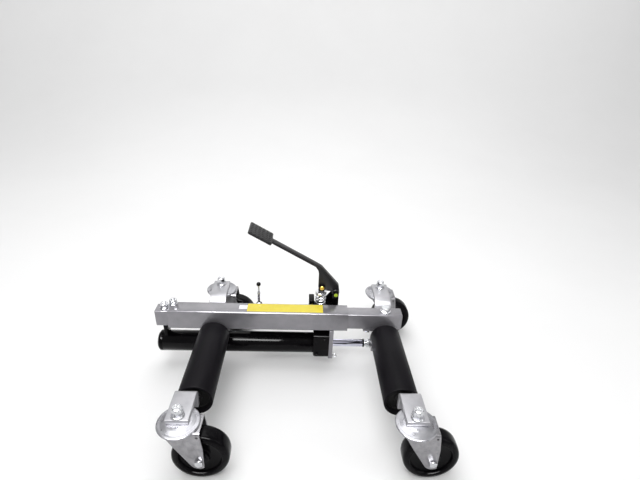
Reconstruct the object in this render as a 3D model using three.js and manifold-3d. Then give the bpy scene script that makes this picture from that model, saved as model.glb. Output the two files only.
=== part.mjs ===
// A hydraulic wheel dolly: two rollers on a telescopic tube close under a tyre and lift it, on four swivel casters.
// Millimetres, +Z up. While it is laid out, X runs along the tube from the left end of its outer part, Y runs from
// the tube's front face to its back, and Z is height over the floor. The rollers reach forward, along -Y.
import * as THREE from "three";
import { mergeVertices } from "three/addons/utils/BufferGeometryUtils.js";
import Module from "manifold-3d";

const wasm = await Module();
wasm.setup();

// ---- Driving dimensions ----
const touch = 0.3; // gap between pieces that rest on each other
const running = 0.4; // radial clearance of what turns or slides on a round piece
const slideClearance = 1; // round the inner tube, inside the outer one

const tube = { length: 510, width: 50, height: 60, wall: 4, corner: 5, top: 203 };
const inner = { wall: 4, corner: 4, reach: 157, inside: 310 };
const endBlock = { reach: 36, inside: 40, slant: 1.5 };

const arm = { fromLeftEnd: 130, fromInnerEnd: 47, height: 132, barRadius: 10 };
const saddle = { length: 36, width: 42, drop: 14 };
const roller = { radius: 43, wall: 5, length: 247, fromRam: 3, fromStrap: 1 };
const bush = { width: 15, recess: 12, rearRecess: 8 };

const strap = { width: 50, thickness: 12, top: 172.5, legBottom: 124.5 };
const frontStrap = { overhang: 13, toBend: 64, bend: 16 };
const rearStrap = { overhang: 20.7, toBend: 44.8, bend: 38 };
const outboard = 13.5; // of each kingpin from its arm, along the tube
const rearKingpin = 148; // behind the tube's back face

const wheel = { radius: 64.5, width: 42, hubRadius: 20, hubWidth: 47, dish: 9, shoulder: 4 };
const trail = 43; // of the wheel's axle behind the kingpin
const kingpin = { radius: 6, headHeight: 7, headRadius: 12 };
const kingpinNut = { flange: 15, flangeHeight: 5, bottom: 14, top: 12, height: 23, tip: 2 };
const race = { radius: 48, depth: 9, rim: 4, shelf: 5.4, neck: 30 };
const fork = { crownRadius: 42, crownReach: 51, crown: 5, plate: 4, side: 2, footRadius: 20, holeRadius: 3 };
const axleBolt = { radius: 6, headRadius: 9.8, headHeight: 6 };

const ram = { radius: 30, bore: 25, underSaddle: 5, left: 37.5, cap: 13.7, length: 450.5, lug: 13 };
const headBlock = { length: 46, width: 60, bottom: 50, top: 128, chamfer: 8 };
const rod = { radius: 11, inside: 230, piston: 28 };
const hanger = { thickness: 12, overhang: 2, bottom: 42, gusset: 14 };
const clip = { radius: 5.5, wire: 1.3, height: 46, fromFront: 10 };
const fitting = { ring: 4, ringRadius: 12.5, neck: 8, neckRadius: 9.5, nut: 12, nutRadius: 13 };
const rodBracket = { fromTube: 76.9, width: 40, plate: 10, flange: 6, toBolt: 26, flangeLength: 40, bottom: 66 };

const pump = { x: 433, behind: 28, left: 35, right: 55, rise: 3, top: 178, back: 54, boss: 6, bossRadius: 18 };
const barrel = { radius: 20, bottom: 112 };
const shoulderBlock = { width: 20, depth: 26, top: 204 };
const tank = { radius: 27, length: 173, height: 140 };
const plunger = { radius: 6, inside: 28, collarRadius: 16.5, collar: 8, collarBottom: 222, ear: 4, earWidth: 18 };
const spring = { radius: 14.3, wire: 2.1, turns: 3.5 };
const fulcrum = { x: 476, height: 229, boltRadius: 5, cheek: 5, between: 18, tip: 9, wide: 36 };
const link = { x: 435, height: 246, pinRadius: 4, slot: 4 };
const pedal = { web: 6, strip: 18, stripThickness: 5, rib: 8, padLength: 72, padWidth: 70, pad: 8 };
const armTop = [[286, 398], [414, 325], [432, 314], [484, 254]]; // the pedal arm's upper edge, X and height
const release = { x: 249, height: 178, rod: 3, top: 249, ball: 6.5, collar: 4.6, collarAt: 219, eye: 7, plate: 8 };
const pipe = { radius: 4, x: 440, bend: 14 };

// ---- Values that follow from them ----
const tubeBottom = tube.top - tube.height;
const middle = tube.width / 2;
const innerInset = tube.wall + slideClearance;
const innerTop = tube.top - innerInset;
const innerBottom = tubeBottom + innerInset;
const innerRight = tube.length + inner.reach;
const leftArmX = arm.fromLeftEnd;
const rightArmX = innerRight - arm.fromInnerEnd;
const strapBottom = strap.top - strap.thickness;
const frontLeg = frontStrap.toBend + frontStrap.bend; // from a kingpin to the far face of its strap's leg
const rearLeg = rearStrap.toBend + rearStrap.bend;
const rearY = tube.width + rearKingpin;
const barRear = rearY - rearLeg - touch;
const crownTop = strapBottom - race.depth - 1;
const crownBottom = crownTop - fork.crown;
const legInside = wheel.hubWidth / 2 + fork.side;
const legOutside = legInside + fork.plate;
const ramHeight = arm.height - saddle.drop - ram.underSaddle - ram.radius; // of its axis
const rollerRear = Math.min(0, middle - ram.radius) - roller.fromRam; // clear of both the tube and the ram
const frontY = rollerRear - roller.length - roller.fromStrap - frontLeg;
const barFront = frontY + frontLeg + touch;
const pumpBottom = tubeBottom + pump.rise;
const pumpY = tube.width + pump.behind;
const hangerX = ram.length - ram.left + headBlock.length + touch;
const bracketX = tube.length + rodBracket.fromTube;
const rodEnd = bracketX - touch - fitting.nut - fitting.neck - fitting.ring - touch;

// ---- Materials ----
function paint(color, roughness, metalness) {
  return () => new THREE.MeshStandardMaterial({ color, roughness, metalness });
}
const silverPaint = paint(0x98979b, 0.42, 0.35);
const blackEnamel = paint(0x0d0c0e, 0.18, 0.1);
const rollerBlack = paint(0x2b2a2d, 0.48, 0.1);
const zincPlate = paint(0xa9a7a5, 0.36, 0.9);
const chrome = paint(0xd9dadf, 0.08, 1);
const wheelBlack = paint(0x100f11, 0.22, 0);
const pedalBlack = paint(0x1b191c, 0.4, 0.1);
const yellowZinc = paint(0xc8a23c, 0.35, 0.9);

// ---- Shapes ----
const X = new THREE.Vector3(1, 0, 0);
const Y = new THREE.Vector3(0, 1, 0);
const Z = new THREE.Vector3(0, 0, 1);

// A box from its low corner to its high corner.
function block(low, high) {
  const size = high.map((value, i) => value - low[i]);
  const centre = high.map((value, i) => (value + low[i]) / 2);
  return new THREE.BoxGeometry(...size).translate(...centre);
}

// An outline drawn in the plane across an axis, and made thick along that axis from low to high.
// Across X it is drawn as Y and Z, across Y as X and Z, and across Z as X and Y.
function thick(outline, axis, low, high, curveSegments = 10) {
  const shape = Array.isArray(outline) ? new THREE.Shape(outline.map((p) => new THREE.Vector2(...p))) : outline;
  const geometry = new THREE.ExtrudeGeometry(shape, { depth: high - low, bevelEnabled: false, curveSegments });
  const turn = new THREE.Matrix4();
  if (axis === X) turn.makeBasis(Y, Z, X);
  if (axis === Y) turn.makeBasis(X, Z, Y.clone().negate());
  const start = axis === Y ? high : low;
  return geometry.applyMatrix4(turn).translate(axis.x * start, axis.y * start, axis.z * start);
}

// A profile of [radius, distance along the axis] points, turned about an axis through the point "at".
function turned(profile, axis, at, sides = 24) {
  const points = profile.map(([radius, along]) => new THREE.Vector2(radius, along));
  const geometry = new THREE.LatheGeometry(points, sides);
  const turn = new THREE.Quaternion().setFromUnitVectors(Y, axis);
  return geometry.applyQuaternion(turn).translate(...at);
}

// A round bar, or a tube when it has a bore, between two distances along an axis.
function round(radius, axis, at, low, high, sides = 24, bore = 0) {
  const profile = bore
    ? [[bore, low], [radius, low], [radius, high], [bore, high], [bore, low]]
    : [[0, low], [radius, low], [radius, high], [0, high]];
  return turned(profile, axis, at, sides);
}

// A six-sided bar, tapered when its radii differ.
function hex(lowRadius, highRadius, axis, at, low, high) {
  return turned([[0, low], [lowRadius, low], [highRadius, high], [0, high]], axis, at, 6);
}

function roundedRectangle(left, bottom, right, top, corner) {
  const shape = new THREE.Shape();
  shape.absarc(right - corner, top - corner, corner, 0, Math.PI / 2);
  shape.absarc(left + corner, top - corner, corner, Math.PI / 2, Math.PI);
  shape.absarc(left + corner, bottom + corner, corner, Math.PI, Math.PI * 1.5);
  shape.absarc(right - corner, bottom + corner, corner, Math.PI * 1.5, Math.PI * 2);
  return shape;
}

function solid(geometry) {
  const plain = geometry.index ? geometry.toNonIndexed() : geometry.clone();
  plain.deleteAttribute("normal");
  plain.deleteAttribute("uv");
  const merged = mergeVertices(plain, 1e-3);
  return new wasm.Manifold(
    new wasm.Mesh({
      numProp: 3,
      vertProperties: merged.attributes.position.array,
      triVerts: new Uint32Array(merged.index.array),
    }),
  );
}

function geometryOf(body) {
  const mesh = body.getMesh();
  const geometry = new THREE.BufferGeometry();
  geometry.setAttribute("position", new THREE.BufferAttribute(mesh.vertProperties, 3));
  geometry.setIndex(new THREE.BufferAttribute(mesh.triVerts, 1));
  geometry.computeVertexNormals();
  return geometry;
}

// Joins the first list of shapes and cuts the second list from the whole.
function join(shapes, cuts = []) {
  let body = shapes.map(solid).reduce((whole, next) => whole.add(next));
  for (const cut of cuts) body = body.subtract(solid(cut));
  return geometryOf(body);
}

const dolly = new THREE.Group();

function add(name, geometry, material) {
  const mesh = new THREE.Mesh(geometry, material());
  mesh.name = name;
  dolly.add(mesh);
}

// ---- Telescopic tube ----
// A rectangular tube along X, with rounded corners and an even wall.
function boxTube(left, right, inset, corner, wall) {
  const low = [inset, tubeBottom + inset];
  const high = [tube.width - inset, tube.top - inset];
  const shape = roundedRectangle(...low, ...high, corner);
  const bore = roundedRectangle(low[0] + wall, low[1] + wall, high[0] - wall, high[1] - wall, corner / 2);
  shape.holes.push(bore);
  return thick(shape, X, left, right, 4);
}

function addOuterTube() {
  const holes = endBolts().map((bolt) => round(bolt.radius + touch, Z, bolt.at, -tube.wall * 2, tube.wall, 16));
  const shell = boxTube(0, tube.length, 0, tube.corner, tube.wall);
  add("outer_tube", join([shell], holes), silverPaint);
}

function addInnerTube() {
  const left = tube.length - inner.inside;
  const shell = boxTube(left, innerRight, innerInset, inner.corner, inner.wall);
  const boltHole = round(armBolt.radius + touch, Z, [rightArmX, middle, 0], innerBottom - 1, innerTop + 1, 16);
  const bracketHole = round(bracketBolt.radius + touch, Z, bracketBoltAt(), 0, inner.wall * 3, 16);
  add("inner_tube", join([shell], [boltHole, bracketHole]), silverPaint);
}

// The block that closes the tube's left end is bolted in from above, once outside the tube and once inside it.
const endBolt = { radius: 5, headRadius: 11, washerRadius: 12.5, washer: 2.5, headHeight: 12, tip: 6, depth: 22 };

function endBolts() {
  return [
    { name: "end_bolt_left", at: [-endBolt.washerRadius - touch, middle, innerTop], radius: endBolt.radius },
    { name: "end_bolt_right", at: [endBlock.inside / 4, middle + 11, tube.top], radius: endBolt.radius },
  ];
}

function addEndBlock() {
  const { reach, inside, slant } = endBlock;
  const shape = roundedRectangle(innerInset, innerBottom, tube.width - innerInset, innerTop, inner.corner);
  const body = thick(shape, X, -reach, inside, 4);
  const slope = [[-reach - 1, innerBottom - 1], [-reach + slant, innerBottom - 1], [-reach - 1, innerTop - 1]];
  const holes = endBolts().map((bolt) => round(bolt.radius + touch, Z, bolt.at, -endBolt.depth - 1, innerInset, 16));
  add("end_block", join([body], [thick(slope, Y, -1, tube.width + 1), ...holes]), silverPaint);
  for (const bolt of endBolts()) add(bolt.name, endBoltShape(bolt), zincPlate);
}

function endBoltShape({ at, radius }) {
  const { headRadius, washerRadius, washer, headHeight, tip, depth } = endBolt;
  return join([
    round(radius, Z, at, -depth, touch + washer + headHeight + tip, 16),
    round(washerRadius, Z, at, touch, touch + washer),
    hex(headRadius, headRadius, Z, at, touch + washer - 0.5, touch + washer + headHeight),
  ]);
}

// ---- Roller arms ----
const armBolt = { radius: 5, headRadius: 13, headHeight: 13, washerRadius: 15, washer: 3, nutHeight: 4 };

function saddleShape(x, top) {
  const { length, width, drop } = saddle;
  const low = [x - length / 2, middle - width / 2, arm.height - drop];
  const high = [x + length / 2, middle + width / 2, top - touch];
  const bore = round(arm.barRadius + touch, Y, [x, 0, arm.height], -1, tube.width + 1);
  return { body: block(low, high), bore };
}

function addArm(side, x, seat, boltHoles) {
  const { body, bore } = saddleShape(x, seat);
  const bar = round(arm.barRadius, Y, [x, 0, arm.height], barFront, barRear);
  add(side + "_axle_saddle", join([body], [bore, ...boltHoles]), silverPaint);
  add(side + "_axle_bar", boltHoles.length ? join([bar], boltHoles) : bar, zincPlate);
}

function addArmBolt() {
  const { radius, headRadius, headHeight, washerRadius, washer } = armBolt;
  const at = [rightArmX, middle, innerTop + touch];
  const foot = arm.height - saddle.drop + armBolt.nutHeight - at[2];
  const shape = join([
    round(radius, Z, at, foot, washer, 16),
    round(washerRadius, Z, at, 0, washer),
    hex(headRadius, headRadius, Z, at, washer - 0.5, washer + headHeight),
  ]);
  add("arm_bolt", shape, zincPlate);
}

function addRoller(side, x) {
  const far = rollerRear;
  const near = far - roller.length;
  const at = [x, 0, arm.height];
  const bore = roller.radius - roller.wall;
  add(side + "_roller", round(roller.radius, Y, at, near, far, 36, bore), rollerBlack);
  const places = { front: near + bush.recess, rear: far - bush.rearRecess - bush.width };
  for (const [end, start] of Object.entries(places)) {
    const shape = round(bore - touch, Y, at, start, start + bush.width, 28, arm.barRadius + running);
    add(`${side}_roller_bush_${end}`, shape, blackEnamel);
  }
}

// ---- Casters ----
// The bent strap over a caster: a flat plate round the kingpin, a bend, and a leg down to the axle bar.
// "inward" is the way from the kingpin to the tube, +1 or -1 along Y.
function bentStrap(left, right, bent, kingpinY, inward) {
  const { thickness, top, legBottom } = strap;
  const { overhang, toBend, bend } = bent;
  const shape = new THREE.Shape();
  shape.moveTo(-overhang, top);
  shape.lineTo(-overhang, top - thickness);
  shape.lineTo(toBend, top - thickness);
  shape.absarc(toBend, top - bend, bend - thickness, Math.PI / 2, 0, true);
  shape.lineTo(toBend + bend - thickness, legBottom);
  shape.lineTo(toBend + bend, legBottom);
  shape.absarc(toBend, top - bend, bend, 0, Math.PI / 2);
  const geometry = inward > 0 ? thick(shape, X, left, right, 5) : thick(shape, X, -right, -left, 5).rotateZ(Math.PI);
  return geometry.translate(0, kingpinY, 0);
}

function addStrap(name, x, bent, kingpinY, inward) {
  const hole = round(kingpin.radius + touch, Z, [x, kingpinY, 0], strapBottom - 1, strap.top + 1, 16);
  const plate = bentStrap(x - strap.width / 2, x + strap.width / 2, bent, kingpinY, inward);
  add(name, join([plate], [hole]), silverPaint);
}

function addRace(name, x, y) {
  const { radius, rim, depth, shelf, neck } = race;
  const hole = kingpin.radius + touch;
  const top = depth - touch;
  const profile = [
    [hole, 0],
    [radius - 4, 0],
    [radius, 1.5],
    [radius, rim],
    [radius - 6, rim + 1],
    [radius - 10, shelf],
    [neck + 4, top - 1.1],
    [neck, top],
    [hole, top],
    [hole, 0],
  ];
  add(name, turned(profile, Z, [x, y, strapBottom - depth], 28), zincPlate);
}

function addKingpin(name, x, y) {
  const { radius, headHeight, headRadius } = kingpin;
  const { flange, flangeHeight, bottom, top, height, tip } = kingpinNut;
  const at = [x, y, strap.top + touch];
  const head = crownBottom - touch - at[2];
  const shape = join([
    round(radius, Z, at, head - headHeight, height, 16),
    round(headRadius, Z, at, head - headHeight, head, 16),
    turned([[0, 0], [flange, 0], [flange, 2], [bottom - 2, flangeHeight], [0, flangeHeight]], Z, at),
    hex(bottom, top, Z, at, flangeHeight - 1.5, height),
    turned([[0, height - 1], [top - 2, height - 1], [top - 3, height + tip], [0, height + tip]], Z, at, 16),
  ]);
  add(name, shape, zincPlate);
}

// The fork's top plate: round over the ball race, and reaching back over the wheel.
function crownOutline() {
  const { crownRadius, crownReach } = fork;
  const corner = 13;
  const meet = Math.acos(legOutside / crownRadius);
  const shape = new THREE.Shape();
  shape.absarc(0, 0, crownRadius, Math.PI / 2 - meet, Math.PI * 1.5 + meet);
  shape.absarc(crownReach - corner, corner - legOutside, corner, -Math.PI / 2, 0);
  shape.absarc(crownReach - corner, legOutside - corner, corner, 0, Math.PI / 2);
  return shape;
}

// A leg of the fork: broad under the crown and narrow at the axle, with a rounded foot.
function legOutline() {
  const { crownRadius, crownReach, footRadius } = fork;
  const axle = wheel.radius;
  const left = -Math.sqrt(crownRadius ** 2 - legOutside ** 2);
  const knee = axle + (crownBottom - axle) / 2;
  const shape = new THREE.Shape();
  shape.moveTo(left, crownTop);
  shape.lineTo(left + 24, knee + 2);
  shape.lineTo(trail - footRadius * 0.86, axle - footRadius * 0.5);
  shape.absarc(trail, axle, footRadius, Math.PI * 1.17, Math.PI * 2.1);
  shape.lineTo(crownReach + 3, knee);
  shape.lineTo(crownReach - 2, crownTop);
  return shape;
}

function addFork(name, x, y) {
  const { footRadius, holeRadius } = fork;
  const leg = legOutline();
  const parts = [
    thick(crownOutline(), Z, crownBottom, crownTop, 5),
    thick(leg, Y, -legOutside, -legInside, 5),
    thick(leg, Y, legInside, legOutside, 5),
  ];
  const lockHole = [fork.crownReach - 8, 0, crownBottom - 6];
  const cuts = [
    round(kingpin.radius + running, Z, [0, 0, 0], crownBottom - 1, crownTop + 1, 16),
    round(axleBolt.radius + touch, Y, [trail, 0, wheel.radius], -legOutside - 1, legOutside + 1, 16),
    round(holeRadius, Y, lockHole, -legOutside - 1, legOutside + 1, 12),
    block([trail - footRadius, -legOutside - 1, 0], [trail + footRadius, legOutside + 1, wheel.radius - footRadius + 1]),
  ];
  add(name, join(parts, cuts).translate(x, y, 0), zincPlate);
}

function addWheelBolt(name, x, y) {
  const { radius, headRadius, headHeight } = axleBolt;
  const at = [x + trail, y, wheel.radius];
  const face = legOutside + touch;
  const shape = join([
    round(radius, Y, at, -face - headHeight, face + headHeight + 2, 16),
    hex(headRadius, headRadius, Y, at, -face - headHeight, -face),
    hex(headRadius, headRadius, Y, at, face, face + headHeight),
  ]);
  add(name, shape, zincPlate);
}

function addWheel(name, x, y) {
  const { radius, width, hubRadius, hubWidth, dish, shoulder } = wheel;
  const bore = axleBolt.radius + running;
  const half = [
    [bore, -hubWidth / 2],
    [hubRadius, -hubWidth / 2],
    [hubRadius, dish - width / 2],
    [radius - 15, -width / 2],
    [radius - shoulder, -width / 2],
    [radius, shoulder - width / 2],
  ];
  const other = half.map(([r, along]) => [r, -along]).reverse();
  const profile = [...half, ...other, half[0]];
  add(name, turned(profile, Y, [x + trail, y, wheel.radius], 32), wheelBlack);
}

function addCaster(place, bent, x, y, inward) {
  addStrap(place + "_strap", x, bent, y, inward);
  addRace(place + "_race", x, y);
  addKingpin(place + "_kingpin", x, y);
  addFork(place + "_fork", x, y);
  addWheelBolt(place + "_axle_bolt", x, y);
  addWheel(place + "_wheel", x, y);
}

// ---- Hydraulic ram ----
function addCylinder() {
  const at = [0, middle, ramHeight];
  const left = ram.cap + touch - ram.left;
  const right = ram.length - ram.left;
  const lugLow = [-ram.lug - 5, middle - 15, ramHeight + ram.bore + 1];
  const lug = block(lugLow, [5 - ram.lug, middle + 15, innerBottom - touch]);
  const tubeShape = round(ram.radius, X, at, left, right, 32, ram.bore);
  add("cylinder_tube", join([tubeShape, lug]), blackEnamel);
  const cap = [[0, -ram.left], [ram.radius - 6, -ram.left], [ram.radius, 6 - ram.left]];
  cap.push([ram.radius, ram.cap - ram.left], [0, ram.cap - ram.left]);
  add("cylinder_cap", turned(cap, X, at, 32), blackEnamel);
}

function addHeadBlock() {
  const left = ram.length - ram.left + touch;
  const right = left + headBlock.length - touch;
  const { width, bottom, top, chamfer } = headBlock;
  const low = middle - width / 2;
  const high = middle + width / 2;
  const outline = [
    [low + chamfer, bottom], [high - chamfer, bottom], [high, bottom + chamfer], [high, top - chamfer],
    [high - chamfer, top], [low + chamfer, top], [low, top - chamfer], [low, bottom + chamfer],
  ];
  const slope = [[left - 1, bottom - 1], [left + chamfer, bottom - 1], [left - 1, bottom + chamfer]];
  const bore = round(rod.radius + running, X, [0, middle, ramHeight], left - 1, right + 1);
  add("head_block", join([thick(outline, X, left, right)], [thick(slope, Y, low, high), bore]), blackEnamel);
}

function addRam() {
  const at = [0, middle, ramHeight];
  add("piston", round(ram.bore - running, X, at, rod.inside - rod.piston - touch, rod.inside - touch), zincPlate);
  add("piston_rod", round(rod.radius, X, at, rod.inside, rodEnd), chrome);
  const { ring, ringRadius, neck, neckRadius, nut, nutRadius } = fitting;
  const start = rodEnd + touch;
  add("rod_ring", round(ringRadius, X, at, start, start + ring), blackEnamel);
  const shape = join([
    round(neckRadius, X, at, start + ring + touch, start + ring + neck + 0.5),
    hex(nutRadius, nutRadius, X, at, start + ring + neck, start + ring + neck + nut),
  ]);
  add("rod_end_fitting", shape, zincPlate);
}

function addHanger() {
  const { thickness, overhang, bottom, gusset } = hanger;
  const low = [hangerX, -overhang, bottom];
  const right = hangerX + thickness;
  const plate = block(low, [right, tube.width + overhang, tubeBottom - touch]);
  const top = tubeBottom - touch;
  const rib = thick([[right - 1, top], [right - 1, top - gusset], [right + gusset, top]], Y, middle - 3, middle + 3);
  const rodHole = round(rod.radius + 2, X, [0, middle, ramHeight], hangerX - 1, right + 1);
  const clipHole = round(clip.wire + touch, X, [0, clip.fromFront, clip.height], hangerX - 1, right + 1, 12);
  add("cylinder_hanger", join([plate, rib], [rodHole, clipHole]), silverPaint);
  const loop = new THREE.TorusGeometry(clip.radius, clip.wire, 6, 16).rotateX(Math.PI / 2);
  loop.translate(right + clip.radius + clip.wire + 1, clip.fromFront, clip.height);
  const stem = round(clip.wire, X, [0, clip.fromFront, clip.height], hangerX + 1, right + clip.wire + 1.5, 8);
  add("hanger_clip", join([loop, stem]), zincPlate);
}

// The bracket that the ram pushes hangs under the inner tube, and its bolt's head shows below it.
const bracketBolt = { radius: 4, headRadius: 8, headHeight: 7, fromFront: 14 };

function bracketBoltAt() {
  return [bracketX + rodBracket.plate - rodBracket.toBolt, bracketBolt.fromFront, innerBottom - touch];
}

function addRodBracket() {
  const { width, plate, flange, flangeLength, bottom } = rodBracket;
  const right = bracketX + plate;
  const front = middle - width / 2;
  const back = middle + width / 2;
  const top = innerBottom - touch;
  const upright = block([bracketX, front, bottom], [right, back, top]);
  const foot = block([right - flangeLength, front, top - flange], [right, back, top]);
  const hole = round(bracketBolt.radius + touch, Z, bracketBoltAt(), -flange - 1, 1, 16);
  add("rod_bracket", join([upright, foot], [hole]), silverPaint);
  const { radius, headRadius, headHeight } = bracketBolt;
  const under = -flange - touch;
  const bolt = join([
    round(radius, Z, bracketBoltAt(), under - headHeight, inner.wall * 2, 16),
    hex(headRadius, headRadius, Z, bracketBoltAt(), under - headHeight, under),
  ]);
  add("rod_bracket_bolt", bolt, zincPlate);
}

// ---- Foot pump ----
function addPumpBody() {
  const front = tube.width + touch;
  const back = tube.width + pump.back;
  const left = pump.x - pump.left;
  const right = pump.x + pump.right;
  const { boss, bossRadius, top } = pump;
  const tankAt = [left, pumpY, tank.height];
  const tankCap = 6;
  const tankProfile = [
    [0, -tank.length], [tank.radius - tankCap, -tank.length], [tank.radius, tankCap - tank.length],
    [tank.radius, 1], [0, 1],
  ];
  const ear = release.eye + 2;
  const earPlaces = [-1, 1].map((side) => pumpY + side * (release.plate / 2 + 3.5));
  const ears = earPlaces.map((y) =>
    block([release.x - ear, y - 2.5, tank.height], [release.x + ear, y + 2.5, release.height + 5]),
  );
  const parts = [
    block([left, front, pumpBottom], [right, back, top]),
    round(barrel.radius, Z, [pump.x, pumpY, 0], barrel.bottom, pumpBottom + 1),
    block([left, pumpY - shoulderBlock.depth / 2, top - 1], [left + shoulderBlock.width, back, shoulderBlock.top]),
    round(bossRadius, Z, [pump.x, pumpY, 0], top - 1, top + boss),
    turned(tankProfile, X, tankAt, 32),
    round(release.rod, Y, [release.x, 0, release.height], earPlaces[0] - 1, earPlaces[1] + 1, 16),
    ...ears,
  ];
  const bore = round(plunger.radius + running, Z, [pump.x, pumpY, 0], top - plunger.inside - 22, top + boss + 1);
  const shoulderGap = round(bossRadius + 1, Z, [pump.x, pumpY, 0], top + boss, shoulderBlock.top + 1);
  add("pump_body", join(parts, [bore, shoulderGap]), blackEnamel);
}

function addPressurePipe() {
  const top = new THREE.Vector3(pipe.x, pumpY, barrel.bottom - touch);
  const corner = new THREE.Vector3(pipe.x, pumpY, ramHeight);
  const end = new THREE.Vector3(pipe.x, middle + headBlock.width / 2 + touch, ramHeight);
  const bendStart = corner.clone().add(new THREE.Vector3(0, 0, pipe.bend));
  const bendEnd = corner.clone().add(new THREE.Vector3(0, -pipe.bend, 0));
  const path = new THREE.CurvePath();
  path.add(new THREE.LineCurve3(top, bendStart));
  path.add(new THREE.QuadraticBezierCurve3(bendStart, corner, bendEnd));
  path.add(new THREE.LineCurve3(bendEnd, end));
  const section = new THREE.Shape().absarc(0, 0, pipe.radius, 0, Math.PI * 2);
  const geometry = new THREE.ExtrudeGeometry(section, { steps: 12, curveSegments: 4, extrudePath: path });
  add("pressure_pipe", geometry, zincPlate);
}

function addFulcrum() {
  const { x, height, boltRadius, cheek, between, tip, wide } = fulcrum;
  const seat = pump.top + touch;
  const cheekOutline = (left) => {
    const shape = new THREE.Shape();
    shape.moveTo(left, seat);
    shape.lineTo(x + tip, seat);
    shape.absarc(x, height, tip, 0, Math.PI);
    if (left < x - tip) shape.lineTo(left, seat + 20);
    return shape;
  };
  const front = pumpY - between / 2;
  const back = pumpY + between / 2;
  const parts = [
    thick(cheekOutline(x - tip), Y, front - cheek, front),
    thick(cheekOutline(x + tip - wide), Y, back, back + cheek),
    block([x - tip, front - 1, seat], [x + tip, back + 1, seat + 6]),
  ];
  const hole = round(boltRadius + touch, Y, [x, 0, height], front - cheek - 1, back + cheek + 1);
  add("fulcrum_bracket", join(parts, [hole]), blackEnamel);
  const outside = between / 2 + cheek + touch;
  const at = [x, pumpY, height];
  const bolt = join([
    round(boltRadius, Y, at, -outside - 7, outside + 9, 16),
    hex(8.5, 8.5, Y, at, -outside - 6, -outside),
    hex(8.5, 8.5, Y, at, outside, outside + 7),
  ]);
  add("fulcrum_bolt", bolt, blackEnamel);
}

// The pedal is a flat strip along the upper edge of an upright web, with the foot pad at its far end.
function addPedal() {
  const { web, strip, stripThickness, rib, padLength, padWidth, pad } = pedal;
  const [start, knee, elbow, end] = armTop;
  const slope = Math.atan2(start[1] - knee[1], knee[0] - start[0]);
  const below = (point, distance) => [point[0], point[1] - distance];
  const stripOutline = [start, below(start, stripThickness), below(knee, stripThickness)];
  stripOutline.push(below(elbow, stripThickness), [end[0] - stripThickness, end[1] - 1], end, elbow, knee);
  const webShape = new THREE.Shape();
  const depth = stripThickness + rib;
  webShape.moveTo(start[0], start[1] - 1);
  webShape.lineTo(...below(start, depth));
  webShape.lineTo(knee[0], knee[1] - depth);
  webShape.lineTo(link.x - 11, link.height + 50);
  webShape.lineTo(link.x - 11, link.height);
  webShape.absarc(link.x, link.height, 11, Math.PI, Math.PI * 1.5);
  webShape.lineTo(fulcrum.x - 12, fulcrum.height + 3);
  webShape.absarc(fulcrum.x, fulcrum.height, 11.5, Math.PI, Math.PI * 2.1);
  webShape.lineTo(end[0], end[1] - 1);
  webShape.lineTo(elbow[0], elbow[1] - 1);
  webShape.lineTo(knee[0], knee[1] - 1);
  const plate = block([-padLength + 2, -padWidth / 2, -pad], [2, padWidth / 2, 0]);
  plate.rotateY(slope).translate(start[0] + 4, pumpY, start[1] + 2);
  const parts = [
    thick(stripOutline, Y, pumpY - strip / 2, pumpY + strip / 2),
    thick(webShape, Y, pumpY - web / 2, pumpY + web / 2),
    plate,
  ];
  const cuts = [
    round(fulcrum.boltRadius + running, Y, [fulcrum.x, 0, fulcrum.height], pumpY - strip, pumpY + strip),
    round(link.pinRadius + touch, Y, [link.x, 0, link.height], pumpY - strip, pumpY + strip),
  ];
  add("pedal", join(parts, cuts), pedalBlack);
}

// The pin turns with the pedal and slides along a slot in the plunger's two ears as the pedal swings.
function addPlunger() {
  const { radius, inside, collarRadius, collar, collarBottom, ear, earWidth } = plunger;
  const at = [pump.x, pumpY, 0];
  const earInside = pedal.web / 2 + 1;
  const top = link.height + 9;
  const ears = [-1, 1].map((side) => {
    const edges = [side * earInside, side * (earInside + ear)].sort((a, b) => a - b);
    const low = [link.x - earWidth / 2 - 1, pumpY + edges[0], collarBottom + collar - 1];
    return block(low, [link.x + earWidth / 2 - 1, pumpY + edges[1], top]);
  });
  const slotLow = [link.x - link.slot - link.pinRadius, pumpY - 20, link.height - link.pinRadius - 0.8];
  const slotHigh = [link.x + link.pinRadius + 0.8, pumpY + 20, link.height + link.pinRadius + 0.8];
  const parts = [
    round(radius, Z, at, pump.top - inside, collarBottom + 1),
    round(collarRadius, Z, at, collarBottom, collarBottom + collar),
    ...ears,
  ];
  add("plunger", join(parts, [block(slotLow, slotHigh)]), zincPlate);
  const reach = earInside + ear;
  const pinAt = [link.x, pumpY, link.height];
  const pin = join([
    round(link.pinRadius, Y, pinAt, -reach - 3, reach + 4),
    round(link.pinRadius + 2.5, Y, pinAt, -reach - 4, -reach - 1),
  ]);
  add("plunger_pin", pin, yellowZinc);
}

function addSpring() {
  const low = pump.top + pump.boss + touch + spring.wire;
  const high = plunger.collarBottom - touch - spring.wire;
  const points = [];
  const perTurn = 12;
  for (let i = 0; i <= spring.turns * perTurn; i++) {
    const angle = (i / perTurn) * Math.PI * 2;
    const rise = i / (spring.turns * perTurn);
    points.push(
      new THREE.Vector3(spring.radius * Math.cos(angle), spring.radius * Math.sin(angle), low + rise * (high - low)),
    );
  }
  const path = new THREE.CatmullRomCurve3(points);
  const section = new THREE.Shape().absarc(0, 0, spring.wire, 0, Math.PI * 2);
  const steps = spring.turns * 12;
  const geometry = new THREE.ExtrudeGeometry(section, { steps, curveSegments: 3, extrudePath: path });
  add("return_spring", geometry.translate(pump.x, pumpY, 0), zincPlate);
}

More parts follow.
